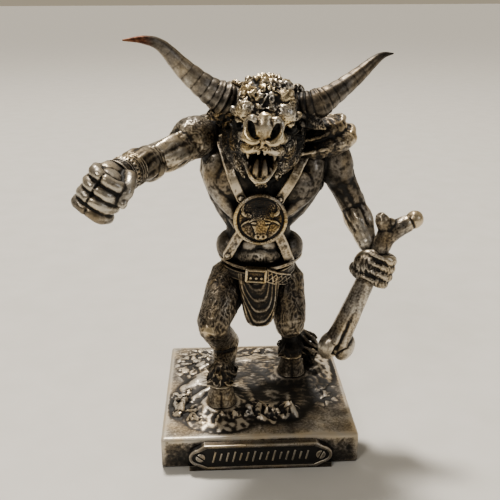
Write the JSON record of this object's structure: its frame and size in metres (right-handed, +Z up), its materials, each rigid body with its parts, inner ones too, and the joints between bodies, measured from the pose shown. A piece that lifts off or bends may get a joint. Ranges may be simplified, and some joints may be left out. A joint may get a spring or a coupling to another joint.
{
  "type": "minotaur statue",
  "caption": "Cast figurine of a standing minotaur with long horns, an outstretched fist and a bone club, on a square plinth with a plaque.",
  "frame": {"origin": "centre of the plinth's underside", "axes": "+Z up, +X to the right as seen from the nameplate side, -Y the way the figure faces"},
  "size_m": [0.1489, 0.1147, 0.1876],
  "materials": {
    "antique_metal": "antiqued pewter and brass over dark recesses, on cast resin",
    "stone_metal": "stippled dark pewter with worn bright edges, on cast resin",
    "plate_metal": "worn brass with a blackened field"
  },
  "bodies": {
    "root": {"minotaur": "antique_metal", "plinth": "stone_metal", "nameplate": "plate_metal"}
  },
  "joints": []
}
